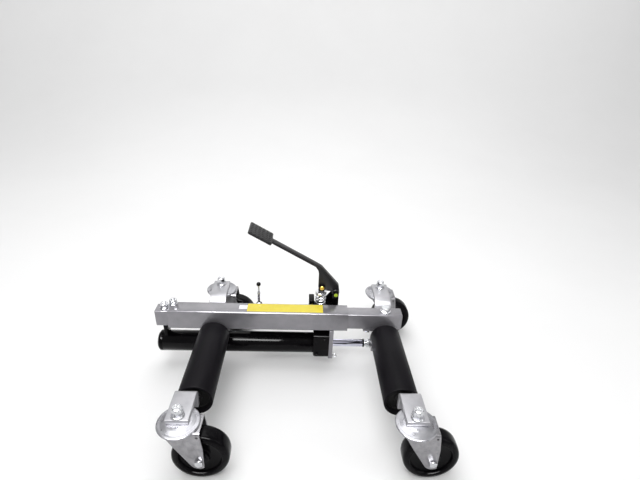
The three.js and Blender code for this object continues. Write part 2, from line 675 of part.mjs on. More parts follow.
function addReleaseLever() {
  const { x, height, rod: thin, top, ball, collar, collarAt, eye, plate } = release;
  const at = [x, pumpY, 0];
  const stem = [[0, height], [thin + 0.5, height], [thin + 0.5, collarAt - 6], [collar, collarAt], [thin, collarAt + 6]];
  stem.push([thin - 0.6, top], [0, top]);
  const parts = [
    turned(stem, Z, at, 16),
    new THREE.SphereGeometry(ball, 12, 8).rotateX(Math.PI / 2).translate(x, pumpY, top),
    round(eye, Y, [x, pumpY, height], -plate / 2, plate / 2),
  ];
  const hole = round(thin + running, Y, [x, pumpY, height], -plate, plate, 16);
  add("release_lever", join(parts, [hole]), zincPlate);
}

// ---- Assembly ----
addOuterTube();
addInnerTube();
addEndBlock();
addArmBolt();
addRodBracket();
addHanger();
addArm("left", leftArmX, tubeBottom, []);
const boltWay = [rightArmX, middle, 0];
addArm("right", rightArmX, innerBottom, [round(armBolt.radius + touch, Z, boltWay, 0, tube.top, 16)]);
for (const [side, armX, outwards] of [["left", leftArmX, -1], ["right", rightArmX, 1]]) {
  addRoller(side, armX);
  const x = armX + outwards * outboard;
  addCaster("front_" + side, frontStrap, x, frontY, 1);
  addCaster("rear_" + side, rearStrap, x, rearY, -1);
}
addCylinder();
addHeadBlock();
addRam();
addPumpBody();
addPressurePipe();
addFulcrum();
addPedal();
addPlunger();
addSpring();
addReleaseLever();

// The part's frame has its origin on the floor, under the middle of the whole.
const extent = new THREE.Box3().setFromObject(dolly);
const centre = extent.getCenter(new THREE.Vector3());
dolly.position.set(-centre.x, -centre.y, -extent.min.z);

export default dolly;
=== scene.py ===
import math

import bpy
from mathutils import Matrix, Vector


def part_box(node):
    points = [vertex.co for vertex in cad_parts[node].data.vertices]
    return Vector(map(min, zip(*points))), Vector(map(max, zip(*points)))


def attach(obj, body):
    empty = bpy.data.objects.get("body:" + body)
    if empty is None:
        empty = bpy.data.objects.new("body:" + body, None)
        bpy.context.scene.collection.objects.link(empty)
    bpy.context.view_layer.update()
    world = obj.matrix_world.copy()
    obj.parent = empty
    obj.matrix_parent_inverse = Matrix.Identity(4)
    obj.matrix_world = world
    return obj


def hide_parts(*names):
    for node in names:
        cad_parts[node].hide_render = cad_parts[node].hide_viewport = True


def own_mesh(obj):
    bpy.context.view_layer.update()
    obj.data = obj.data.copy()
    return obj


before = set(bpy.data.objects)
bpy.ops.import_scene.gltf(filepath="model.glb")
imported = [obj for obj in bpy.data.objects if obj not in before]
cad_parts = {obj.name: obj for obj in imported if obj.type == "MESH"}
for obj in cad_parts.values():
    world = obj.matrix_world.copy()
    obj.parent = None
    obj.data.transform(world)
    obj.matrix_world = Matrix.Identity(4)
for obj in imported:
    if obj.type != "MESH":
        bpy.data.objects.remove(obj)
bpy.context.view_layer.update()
mm = 0.001
xAxis, yAxis, zAxis = Vector((1, 0, 0)), Vector((0, 1, 0)), Vector((0, 0, 1))
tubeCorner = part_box("outer_tube")[0]  # left end of the outer tube, at its front face
print("frame loaded:", len(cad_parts), "nodes")


def at(x, y, z):
    return Vector((tubeCorner.x + x * mm, tubeCorner.y + y * mm, z * mm))


def middle(node):
    low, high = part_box(node)
    return (low + high) / 2


def leftFace(node):  # centre of a node's face towards -x
    return Vector((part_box(node)[0].x, middle(node).y, middle(node).z))


def frontFace(node):  # centre of a node's face towards -y
    return Vector((middle(node).x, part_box(node)[0].y, middle(node).z))


def spans(node):  # a node's sizes in mm
    low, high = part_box(node)
    return (high - low) / mm


def letGo():
    if bpy.context.mode != "OBJECT":
        bpy.ops.object.mode_set(mode="OBJECT")
    bpy.ops.object.select_all(action="DESELECT")


def hold(piece):
    letGo()
    piece.select_set(True)
    bpy.context.view_layer.objects.active = piece
    return piece


def newest(name):
    piece = bpy.context.object
    piece.name = name
    bpy.ops.object.transform_apply(location=True, rotation=True, scale=True)
    return piece


def cube(name, low, high):
    letGo()
    bpy.ops.mesh.primitive_cube_add(size=1, location=(low + high) / 2)
    bpy.context.object.scale = high - low
    return newest(name)


def pick(piece, kind, test):  # selects faces by centre and normal, or edges by their two ends
    hold(piece)
    bpy.ops.object.mode_set(mode="EDIT")
    bpy.ops.mesh.select_mode(type=kind)
    bpy.ops.mesh.select_all(action="DESELECT")
    bpy.ops.object.mode_set(mode="OBJECT")
    if kind == "FACE":
        for face in piece.data.polygons:
            face.select = test(face.center, face.normal)
    if kind == "EDGE":
        spots = piece.data.vertices
        for edge in piece.data.edges:
            edge.select = test(spots[edge.vertices[0]].co, spots[edge.vertices[1]].co)
    if kind == "VERT":
        for spot in piece.data.vertices:
            spot.select = test(spot.co)
    bpy.ops.object.mode_set(mode="EDIT")


def tidy():  # in edit mode: merges doubles and turns every face outwards
    bpy.ops.mesh.select_all(action="SELECT")
    bpy.ops.mesh.remove_doubles(threshold=0.01 * mm)
    bpy.ops.mesh.normals_make_consistent(inside=False)
    bpy.ops.object.mode_set(mode="OBJECT")


def addModifier(piece, kind, **settings):
    hold(piece)
    modifier = piece.modifiers.new(kind.lower(), kind)
    for key, value in settings.items():
        setattr(modifier, key, value)
    bpy.ops.object.modifier_apply(modifier=modifier.name)


def soften(piece, width=0.6, segments=2, edge=35, smooth=38):  # rounds the edges and smooths the shading
    if width:
        addModifier(piece, "BEVEL", width=width * mm, segments=segments, limit_method="ANGLE",
                    angle_limit=math.radians(edge), use_clamp_overlap=True)
    hold(piece)
    bpy.ops.object.shade_smooth_by_angle(angle=math.radians(smooth))
    return piece


def combine(piece, tool, operation):
    addModifier(piece, "BOOLEAN", operation=operation, solver="EXACT", object=tool)
    bpy.data.objects.remove(tool)
    return piece


def turned(name, steps, axis, centre, sides=48, bore=False):  # steps are (radius, distance along the axis)
    letGo()
    radius, along = steps[0]
    fill = "NOTHING" if bore else "NGON"
    bpy.ops.mesh.primitive_circle_add(vertices=sides, radius=radius * mm, fill_type=fill,
                                      location=(0, 0, along * mm))
    piece = newest(name)
    bpy.ops.object.mode_set(mode="EDIT")
    bpy.ops.mesh.select_all(action="SELECT")
    for nextRadius, nextAlong in steps[1:]:
        rise = Vector((0, 0, (nextAlong - along) * mm))
        bpy.ops.mesh.extrude_region_move(TRANSFORM_OT_translate={"value": rise})
        scale = nextRadius / radius
        bpy.ops.transform.resize(value=(scale, scale, 1), center_override=(0, 0, nextAlong * mm))
        radius, along = nextRadius, nextAlong
    if bore:
        bpy.ops.mesh.select_all(action="DESELECT")
        bpy.ops.mesh.select_mode(type="EDGE")
        bpy.ops.mesh.select_non_manifold()
        bpy.ops.mesh.bridge_edge_loops()
    tidy()
    piece.rotation_mode = "QUATERNION"
    piece.rotation_quaternion = zAxis.rotation_difference(axis)
    piece.location = centre
    bpy.ops.object.transform_apply(location=True, rotation=True, scale=True)
    return piece


def arc(x, y, radius, start, end, steps=8):
    turns = [math.radians(start + (end - start) * i / steps) for i in range(steps + 1)]
    return [(x + radius * math.cos(turn), y + radius * math.sin(turn)) for turn in turns]


def drawn(name, outline, axis, low, high):  # an outline drawn point by point, filled and extruded
    spots = [at(*point[:axis], low, *point[axis:]) for point in outline]
    letGo()
    bpy.ops.mesh.primitive_plane_add(size=mm, location=spots[0])
    piece = newest(name)
    bpy.ops.object.mode_set(mode="EDIT")
    bpy.ops.mesh.select_mode(type="VERT")
    bpy.ops.mesh.select_all(action="SELECT")
    bpy.ops.mesh.merge(type="CENTER")
    for here, there in zip(spots, spots[1:] + spots[:1]):
        bpy.ops.mesh.extrude_vertices_move(TRANSFORM_OT_translate={"value": there - here})
    bpy.ops.mesh.select_all(action="SELECT")
    bpy.ops.mesh.remove_doubles(threshold=0.01 * mm)
    bpy.ops.mesh.edge_face_add()
    along = Vector([(high - low) * mm if i == axis else 0 for i in range(3)])
    bpy.ops.mesh.extrude_region_move(TRANSFORM_OT_translate={"value": along})
    tidy()
    return piece


def wire(name, points, radius, steps=8, cyclic=False):  # a round bar along a line of points
    letGo()
    line = bpy.data.curves.new(name, "CURVE")
    line.dimensions = "3D"
    line.bevel_depth = radius * mm
    line.bevel_resolution = steps
    line.use_fill_caps = not cyclic
    spline = line.splines.new("POLY")
    spline.points.add(len(points) - 1)
    for spot, point in zip(spline.points, points):
        spot.co = (*point, 1)
    spline.use_cyclic_u = cyclic
    piece = bpy.data.objects.new(name, line)
    bpy.context.scene.collection.objects.link(piece)
    hold(piece)
    bpy.ops.object.convert(target="MESH")
    bpy.ops.object.mode_set(mode="EDIT")
    tidy()
    return piece


def copyOf(piece, name, shift=(0, 0, 0), mirror=None):
    hold(piece)
    bpy.ops.object.duplicate(linked=False)
    copied = bpy.context.object
    copied.name = name
    if mirror:
        copied.scale = mirror
        bpy.ops.object.transform_apply(location=True, rotation=True, scale=True)
        bpy.ops.object.mode_set(mode="EDIT")
        bpy.ops.mesh.select_all(action="SELECT")
        bpy.ops.mesh.normals_make_consistent(inside=False)
        bpy.ops.object.mode_set(mode="OBJECT")
    copied.location = shift
    bpy.ops.object.transform_apply(location=True, rotation=True, scale=True)
    return copied


def fuse(name, pieces):  # one object of several shells
    letGo()
    for piece in pieces:
        piece.select_set(True)
    bpy.context.view_layer.objects.active = pieces[0]
    bpy.ops.object.join()
    pieces[0].name = name
    return pieces[0]


def ready(piece, material, slotName, body, *nodes):
    piece.data.materials.clear()
    piece.data.materials.append(material)
    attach(piece, body)
    if nodes:
        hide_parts(*nodes)
    return piece


def hexHead(name, axis, seat, across, height, washer=None, tip=None):
    chamfer = 1.2
    flat = across / 2 / math.cos(math.pi / 6)
    rise = 0
    pieces = []
    if washer:
        radius, thickness = washer
        steps = [(radius - 0.4, 0), (radius, 0.4), (radius, thickness - 0.4), (radius - 0.4, thickness)]
        pieces.append(turned(name + "Washer", steps, axis, seat, 32))
        rise = thickness
    head = turned(name, [(flat, rise), (flat, rise + height)], axis, seat, 6)
    # the turned chamfer of a real bolt head: a cone cut over the six corners
    cone = [(flat + 0.01, rise - 1), (flat + 0.01, rise + height - chamfer),
            (flat - chamfer * 1.7, rise + height)]
    cutter = turned(name + "Cone", cone, axis, seat, 48)
    combine(head, cutter, "INTERSECT")
    soften(head, 0.25, 1, 30)
    pieces.append(head)
    if tip:
        radius, length = tip
        end = rise + height + length
        steps = [(radius, rise + height - 1), (radius, end - 0.8), (radius - 0.8, end)]
        pieces.append(soften(turned(name + "Tip", steps, axis, seat, 24), 0))
    for piece in pieces:
        soften(piece, 0)
    return fuse(name, pieces)


def linear(code):
    parts = [int(code[i : i + 2], 16) / 255 for i in (1, 3, 5)]
    return (*[c / 12.92 if c <= 0.04045 else ((c + 0.055) / 1.055) ** 2.4 for c in parts], 1)


def addNode(tree, kind, settings=None, links=None):
    node = tree.nodes.new(kind)
    for key, value in (settings or {}).items():
        if key in node.inputs:
            node.inputs[key].default_value = value
        else:
            setattr(node, key, value)
    for key, output in (links or {}).items():
        tree.links.new(output, node.inputs[key])
    return node


def surface(name, look):  # one principled surface with its own tone, roughness and relief, sizes in mm
    material = bpy.data.materials.new(name)
    material.use_nodes = True
    tree = material.node_tree
    tree.nodes.clear()
    spot = addNode(tree, "ShaderNodeTexCoord").outputs["Object"]
    if "stretch" in look:
        mapping = addNode(tree, "ShaderNodeMapping", {"Scale": look["stretch"]}, {"Vector": spot})
        spot = mapping.outputs["Vector"]
    sizes = ("cloudSize", "grainSize", "reliefSize")
    cloudScale, grainScale, reliefScale = [1 / (look[size] * mm) for size in sizes]
    cloud = addNode(tree, "ShaderNodeTexNoise", {"Scale": cloudScale, "Detail": 4.0, "Roughness": 0.6},
                    {"Vector": spot})
    spread = addNode(tree, "ShaderNodeMapRange", {"From Min": 0.3, "From Max": 0.7},
                     {"Value": cloud.outputs["Fac"]})
    tone = addNode(tree, "ShaderNodeMixRGB",
                   {"Color1": linear(look["dark"]), "Color2": linear(look["light"])},
                   {"Fac": spread.outputs["Result"]})
    grain = addNode(tree, "ShaderNodeTexNoise", {"Scale": grainScale, "Detail": 2.0}, {"Vector": spot})
    paler, darker = 1 + look["grain"], 1 - look["grain"]
    speck = addNode(tree, "ShaderNodeMapRange",
                    {"From Min": 0.35, "From Max": 0.65, "To Min": darker, "To Max": paler},
                    {"Value": grain.outputs["Fac"]})
    shade = addNode(tree, "ShaderNodeVectorMath", {"operation": "SCALE"},
                    {"Vector": tone.outputs["Color"], "Scale": speck.outputs["Result"]})
    smoothest, roughest = look["rough"]
    rough = addNode(tree, "ShaderNodeMapRange",
                    {"From Min": 0.3, "From Max": 0.7, "To Min": smoothest, "To Max": roughest},
                    {"Value": cloud.outputs["Fac"]})
    relief = addNode(tree, "ShaderNodeTexNoise", {"Scale": reliefScale, "Detail": 1.0}, {"Vector": spot})
    bump = addNode(tree, "ShaderNodeBump", {"Strength": look["relief"], "Distance": 0.2 * mm},
                   {"Height": relief.outputs["Fac"]})
    shader = addNode(tree, "ShaderNodeBsdfPrincipled",
                     {"Metallic": look["metallic"], "Specular IOR Level": look.get("specular", 0.5),
                      "Coat Weight": look.get("coat", 0), "Coat Roughness": 0.1},
                     {"Base Color": shade.outputs["Vector"], "Roughness": rough.outputs["Result"],
                      "Normal": bump.outputs["Normal"]})
    addNode(tree, "ShaderNodeOutputMaterial", {}, {"Surface": shader.outputs["BSDF"]})
    return material


# satin silver powder coat over steel: metal flakes under a fine orange peel
silverCoat = surface("silver powder coated steel", {
    "dark": "#7b7a7f", "light": "#8a888d", "cloudSize": 42, "grainSize": 0.8, "grain": 0.05, "metallic": 0.5,
    "rough": (0.32, 0.42), "reliefSize": 1.6, "relief": 0.12, "coat": 1})
# the same coat on the bent straps, where it went on thicker and lighter
strapCoat = surface("pale silver powder coated strap", {
    "dark": "#a0a0a4", "light": "#b0afb3", "cloudSize": 34, "grainSize": 0.8, "grain": 0.05, "metallic": 0.5,
    "rough": (0.36, 0.46), "reliefSize": 1.6, "relief": 0.12, "coat": 0.4})
# zinc plated pressed steel: cool bright metal with cloudy patches from the bath
zincSteel = surface("zinc plated pressed steel", {
    "dark": "#868588", "light": "#a3a2a5", "cloudSize": 14, "grainSize": 1.1, "grain": 0.04, "metallic": 1.0,
    "rough": (0.28, 0.44), "reliefSize": 2.4, "relief": 0.1})
# the swivel races: spun bright, paler than the forks under them
raceSteel = surface("bright zinc plated swivel race", {
    "dark": "#97979c", "light": "#b4b4b8", "cloudSize": 22, "grainSize": 0.9, "grain": 0.03, "metallic": 0.9,
    "rough": (0.24, 0.34), "reliefSize": 1.8, "relief": 0.06})
# bright zinc plated fasteners: turned and hexagon stock, shinier than the pressed plate
zincBolt = surface("bright zinc plated bolt steel", {
    "dark": "#b9babd", "light": "#dcdde0", "cloudSize": 5, "grainSize": 0.6, "grain": 0.03, "metallic": 1.0,
    "rough": (0.16, 0.3), "reliefSize": 1.0, "relief": 0.08})
# gloss black enamel sprayed on steel and cast iron: near mirror, with a soft orange peel
blackEnamel = surface("gloss black enamelled steel", {
    "dark": "#060507", "light": "#0c0b0d", "cloudSize": 30, "grainSize": 1.2, "grain": 0.06, "metallic": 0.0,
    "rough": (0.08, 0.18), "reliefSize": 3.5, "relief": 0.1, "specular": 0.1})
# satin black paint on the roller tubes, rubbed along their length by tyres
rollerPaint = surface("satin black painted roller tube", {
    "dark": "#100f12", "light": "#19171b", "cloudSize": 18, "grainSize": 1.4, "grain": 0.08, "metallic": 0.0,
    "rough": (0.38, 0.5), "reliefSize": 1.8, "relief": 0.15, "stretch": (1, 0.16, 1), "specular": 0.06})
# moulded hard plastic of the caster wheels: black and glossy, a little scuffed
wheelPlastic = surface("moulded gloss black wheel plastic", {
    "dark": "#070608", "light": "#0e0d10", "cloudSize": 16, "grainSize": 0.9, "grain": 0.08, "metallic": 0.0,
    "rough": (0.12, 0.24), "reliefSize": 2.0, "relief": 0.06, "specular": 0.07})
# satin black paint on the cast pedal
pedalPaint = surface("satin black painted cast steel", {
    "dark": "#0d0b0e", "light": "#171518", "cloudSize": 12, "grainSize": 0.9, "grain": 0.1, "metallic": 0.0,
    "rough": (0.3, 0.44), "reliefSize": 1.3, "relief": 0.22, "specular": 0.35})
# yellow chromate over zinc: gold with a faint rainbow drift
yellowChromate = surface("yellow chromate plated steel", {
    "dark": "#b98a2e", "light": "#e3c566", "cloudSize": 4, "grainSize": 0.6, "grain": 0.05, "metallic": 1.0,
    "rough": (0.2, 0.34), "reliefSize": 1.0, "relief": 0.08})
# ground and hard chromed ram rod
hardChrome = surface("hard chromed ground rod", {
    "dark": "#cfcfe0", "light": "#e2e2f0", "cloudSize": 9, "grainSize": 0.5, "grain": 0.02, "metallic": 1.0,
    "rough": (0.05, 0.1), "reliefSize": 1.2, "relief": 0.03, "stretch": (0.15, 1, 1)})
# black nylon bush inside each roller
blackNylon = surface("black nylon bush", {
    "dark": "#060506", "light": "#0b0a0b", "cloudSize": 8, "grainSize": 0.7, "grain": 0.1, "metallic": 0.0,
    "rough": (0.45, 0.6), "reliefSize": 0.9, "relief": 0.2, "specular": 0.25})
# printed vinyl labels, left plain
yellowVinyl = surface("plain yellow vinyl label", {
    "dark": "#dfcb33", "light": "#e7d640", "cloudSize": 20, "grainSize": 0.7, "grain": 0.02, "metallic": 0.0,
    "rough": (0.28, 0.36), "reliefSize": 5.0, "relief": 0.06})
whiteVinyl = surface("plain white vinyl label", {
    "dark": "#ecebf0", "light": "#f8f8fb", "cloudSize": 20, "grainSize": 0.7, "grain": 0.02, "metallic": 0.0,
    "rough": (0.28, 0.36), "reliefSize": 5.0, "relief": 0.06})
# a dab of paint that marks the tightened pivot nut
markerPaint = surface("green marker paint", {
    "dark": "#a9c719", "light": "#c6e02c", "cloudSize": 3, "grainSize": 0.5, "grain": 0.08, "metallic": 0.0,
    "rough": (0.35, 0.5), "reliefSize": 0.8, "relief": 0.3})
print("materials made")

tubeShape = {"wall": 4, "corner": 5.5, "innerCorner": 4, "cornerSteps": 5, "rim": 0.5}


def squareTube(name, node, shape):
    low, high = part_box(node)
    piece = cube(name, low, high)
    longest = (high.x - low.x) * 0.9
    pick(piece, "EDGE", lambda a, b: abs(a.x - b.x) > longest)
    bpy.ops.mesh.bevel(offset=shape["corner"] * mm, segments=shape["cornerSteps"], profile=0.5)
    pick(piece, "FACE", lambda centre, normal: abs(normal.x) > 0.9)
    bpy.ops.mesh.inset(thickness=shape["wall"] * mm)
    bpy.ops.mesh.bridge_edge_loops()
    tidy()
    return soften(piece, shape["rim"], 2, 50, 40)


outerTube = squareTube("outerTube", "outer_tube", tubeShape)
ready(outerTube, silverCoat, "silver_paint", "outer_frame", "outer_tube")
innerTube = squareTube("innerTube", "inner_tube", {**tubeShape, "corner": tubeShape["innerCorner"]})
ready(innerTube, silverCoat, "silver_paint", "inner_frame", "inner_tube")

endBlockShape = {"slant": 1.5, "corner": 4}
low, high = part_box("end_block")
endBlock = cube("endBlock", low, high)
pick(endBlock, "EDGE", lambda a, b: abs(a.x - b.x) > 0.05)
bpy.ops.mesh.bevel(offset=endBlockShape["corner"] * mm, segments=5, profile=0.5)
pick(endBlock, "FACE", lambda centre, normal: normal.x < -0.9)
bpy.ops.object.mode_set(mode="OBJECT")
for spot in endBlock.data.vertices:  # the lower part of the end face is cut back
    if spot.co.x < low.x + mm:
        spot.co.x += endBlockShape["slant"] * mm * (high.z - spot.co.z) / (high.z - low.z)
soften(endBlock, 1.0, 3, 50, 40)
ready(endBlock, silverCoat, "silver_paint", "outer_frame", "end_block")

endBoltShape = {"stand": 20.5, "across": 19, "height": 12.5, "washer": (12.4, 2.4), "tip": (5, 5.5)}
for node, name in (("end_bolt_left", "endBoltLeft"), ("end_bolt_right", "endBoltRight")):
    low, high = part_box(node)
    seat = Vector((*middle(node).xy, high.z - endBoltShape["stand"] * mm))
    bolt = hexHead(name, zAxis, seat, endBoltShape["across"], endBoltShape["height"], endBoltShape["washer"],
                   endBoltShape["tip"])
    ready(bolt, zincBolt, "zinc_plate", "outer_frame", node)

armBoltShape = {"stand": 16, "across": 22.4, "height": 12.8, "washer": (14.9, 3), "shank": 4.9}
low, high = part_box("arm_bolt")
seat = Vector((*middle("arm_bolt").xy, high.z - armBoltShape["stand"] * mm))
armBolt = hexHead("armBolt", zAxis, seat, armBoltShape["across"], armBoltShape["height"],
                  armBoltShape["washer"])
shankSteps = [(armBoltShape["shank"], 0), (armBoltShape["shank"], (seat.z - low.z) / mm)]
shank = turned("armBoltShank", shankSteps, zAxis, Vector((seat.x, seat.y, low.z)), 24)
armBolt = fuse("armBolt", [armBolt, soften(shank, 0)])
ready(armBolt, zincBolt, "zinc_plate", "inner_frame", "arm_bolt")

labels = [("yellowLabel", 222, 438, 5.6, 44.4, yellowVinyl), ("whiteLabel", 198, 221.6, 17, 36, whiteVinyl)]
labelCorner = 1.5
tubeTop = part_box("outer_tube")[1].z / mm
for name, left, right, front, back, vinyl in labels:
    label = cube(name, at(left, front, tubeTop + 0.02), at(right, back, tubeTop + 0.25))
    pick(label, "EDGE", lambda a, b: abs(a.z - b.z) > 0.1 * mm)
    bpy.ops.mesh.bevel(offset=labelCorner * mm, segments=3, profile=0.5)
    soften(label, 0)
    ready(label, vinyl, "silver_paint", "outer_frame")
print("tube done")

rollerShape = {"wall": 5, "rim": 1.6}
bushShape = {"bore": 10.6, "hub": 15, "dish": 3, "lip": 4}
axleShape = {"radius": 10, "hole": 10.3, "chamfer": 1}
for side, body in (("left", "outer_frame"), ("right", "inner_frame")):
    node = side + "_roller"
    radius = spans(node).x / 2
    length = spans(node).y
    bore = radius - rollerShape["wall"]
    rim = rollerShape["rim"]
    steps = [(bore, 0.5), (bore + 0.5, 0), (radius - rim, 0), (radius - rim * 0.3, rim * 0.3), (radius, rim),
             (radius, length - rim), (radius - rim * 0.3, length - rim * 0.3), (radius - rim, length),
             (bore + 0.5, length), (bore, length - 0.5)]
    roller = turned(side + "Roller", steps, yAxis, frontFace(node), 96, bore=True)
    soften(roller, 0, smooth=50)
    ready(roller, rollerPaint, "roller_black", node, node)
    for end in ("front", "rear"):
        bushNode = f"{node}_bush_{end}"
        outer = spans(bushNode).x / 2
        thick = spans(bushNode).y
        hub, dish, lip = bushShape["hub"], bushShape["dish"], outer - bushShape["lip"]
        face = [(bushShape["bore"], 0), (hub, 0), (hub + 1, dish), (lip - 2, dish), (lip, 0),
                (outer - 0.5, 0), (outer, 0.5)]
        steps = face + [(r, thick - along) for r, along in reversed(face)]
        bush = turned(f"{side}Bush{end.title()}", steps, yAxis, frontFace(bushNode), 64, bore=True)
        soften(bush, 0)
        ready(bush, blackNylon, "black_enamel", node, bushNode)
    saddleNode = side + "_axle_saddle"
    low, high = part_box(saddleNode)
    saddle = cube(side + "Saddle", low, high)
    barNode = side + "_axle_bar"
    holeCentre = Vector((middle(saddleNode).x, high.y, middle(barNode).z))
    hole = turned("saddleHole", [(axleShape["hole"], -60), (axleShape["hole"], 60)], yAxis, holeCentre, 48)
    combine(saddle, hole, "DIFFERENCE")
    soften(saddle, 1.0, 2)
    ready(saddle, silverCoat, "silver_paint", body, saddleNode)
    length = spans(barNode).y
    radius, chamfer = axleShape["radius"], axleShape["chamfer"]
    steps = [(radius - chamfer, 0), (radius, chamfer), (radius, length - chamfer), (radius - chamfer, length)]
    bar = turned(side + "AxleBar", steps, yAxis, frontFace(barNode), 48)
    ready(soften(bar, 0, smooth=50), zincBolt, "zinc_plate", body, barNode)
print("rollers done")

places = ("front_left", "front_right", "rear_left", "rear_right")
kingpins = {place: middle(place + "_kingpin") for place in places}
design = {}  # the same spots in mm from the tube's corner, as at() takes them
for place, spot in kingpins.items():
    design[place] = ((spot.x - tubeCorner.x) / mm, (spot.y - tubeCorner.y) / mm)
strapShape = {"top": 172.5, "thick": 12, "leg": 124.5, "half": 25, "edge": 1.1}
frontStrap = {"bend": 16, "toBend": 64, "overhang": 13}
rearStrap = {"bend": 38, "toBend": 44.8, "overhang": 20.7}


def strapOutline(shape, start):
    top, thick, bend, flat = shape["top"], shape["thick"], shape["bend"], shape["toBend"]
    outline = [(start, top), (start, top - thick), (flat, top - thick)]
    outline += arc(flat, top - bend, bend - thick, 90, 0, 8)[1:]
    outline += [(flat + bend - thick, shape["leg"]), (flat + bend, shape["leg"])]
    outline += arc(flat, top - bend, bend, 0, 90, 12)
    return outline


def makeStrap(place):
    x, y = design[place]
    inward = 1 if place.startswith("front") else -1
    shape = {**strapShape, **(frontStrap if inward > 0 else rearStrap)}
    name = place.split("_")[0] + place.split("_")[1].title() + "Strap"
    outline = [(y + inward * u, v) for u, v in strapOutline(shape, -shape["overhang"])]
    strap = drawn(name, outline, 0, x - shape["half"], x + shape["half"])
    return soften(strap, shape["edge"], 3, 40, 35)


for place in kingpins:
    body = "outer_frame" if "left" in place else "inner_frame"
    ready(makeStrap(place), strapCoat, "silver_paint", body, place + "_strap")

kingpinShape = {"flange": 15, "bottom": 13.9, "top": 12, "height": 23, "dimple": 4.5, "shank": 12}


def makeKingpin():
    spot = kingpins["front_left"]
    seat = Vector((spot.x, spot.y, (strapShape["top"] + 0.3) * mm))
    shape = kingpinShape
    flange = [(shape["flange"] - 0.6, 0), (shape["flange"], 0.6), (shape["flange"], 1.8),
              (shape["bottom"] - 0.4, 4.2), (shape["bottom"] - 2.4, 5.2)]
    pieces = [soften(turned("pinFlange", flange, zAxis, seat, 48), 0)]
    height, width = shape["height"], shape["top"]
    nut = turned("pinNut", [(shape["bottom"], 3.6), (width, height)], zAxis, seat, 6)
    cone = [(shape["bottom"] + 1, 3), (width + 0.2, height - 3), (width - 1.6, height)]
    combine(nut, turned("pinCone", cone, zAxis, seat, 48), "INTERSECT")
    pieces.append(soften(nut, 0.5, 2, 25))
    dimple = shape["dimple"]
    rim = [(width - 2.2, height - 1), (width - 2.4, height + 1.2), (width - 3.4, height + 2),
           (dimple + 0.6, height + 2), (dimple, height + 1.4), (dimple - 0.8, height + 0.2)]
    pieces.append(soften(turned("pinRim", rim, zAxis, seat, 48), 0))
    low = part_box("front_left_kingpin")[0].z
    down = (low - seat.z) / mm
    thick = shape["shank"]
    shank = [(thick - 1, down), (thick, down + 1), (thick, down + 6), (thick / 2, down + 6.9), (thick / 2, 0)]
    pieces.append(soften(turned("pinShank", shank, zAxis, seat, 32), 0))
    return fuse("frontLeftKingpin", pieces)


def makeRace():  # a raised seat, a sloping neck, and a rolled rim over the bearing track
    low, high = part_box("front_left_race")
    spot = kingpins["front_left"]
    top = (high.z - low.z) / mm
    seat = [(6.4, top), (29, top), (30.6, top - 0.5), (33.4, top - 1.7), (35.4, top - 2.2)]
    shelf = [(37, 5.7), (38.6, 5.2), (41, 5.0), (42.6, 4.9), (45, 4.2)]
    rim = [(46.4, 3.2), (46.8, 1.9), (46.4, 0.6), (45.4, 0.05), (44.2, 0.4)]
    track = [(42, 2.4), (38, 3), (36, 0.2), (26, 0.2), (24, top - 3), (6.4, top - 3)]
    start = Vector((spot.x, spot.y, low.z))
    race = turned("frontLeftRace", seat + shelf + rim + track, zAxis, start, 96, bore=True)
    return soften(race, 0, smooth=40)


forkShape = {"crown": 42, "reach": 51, "thick": 4, "side": 29.5, "top": 150.5, "bottom": 145.5, "bend": 7,
             "trail": 43, "axle": 64.5, "foot": 20, "crease": 8, "lean": 4.5, "knee": 105, "lockHole": 3}


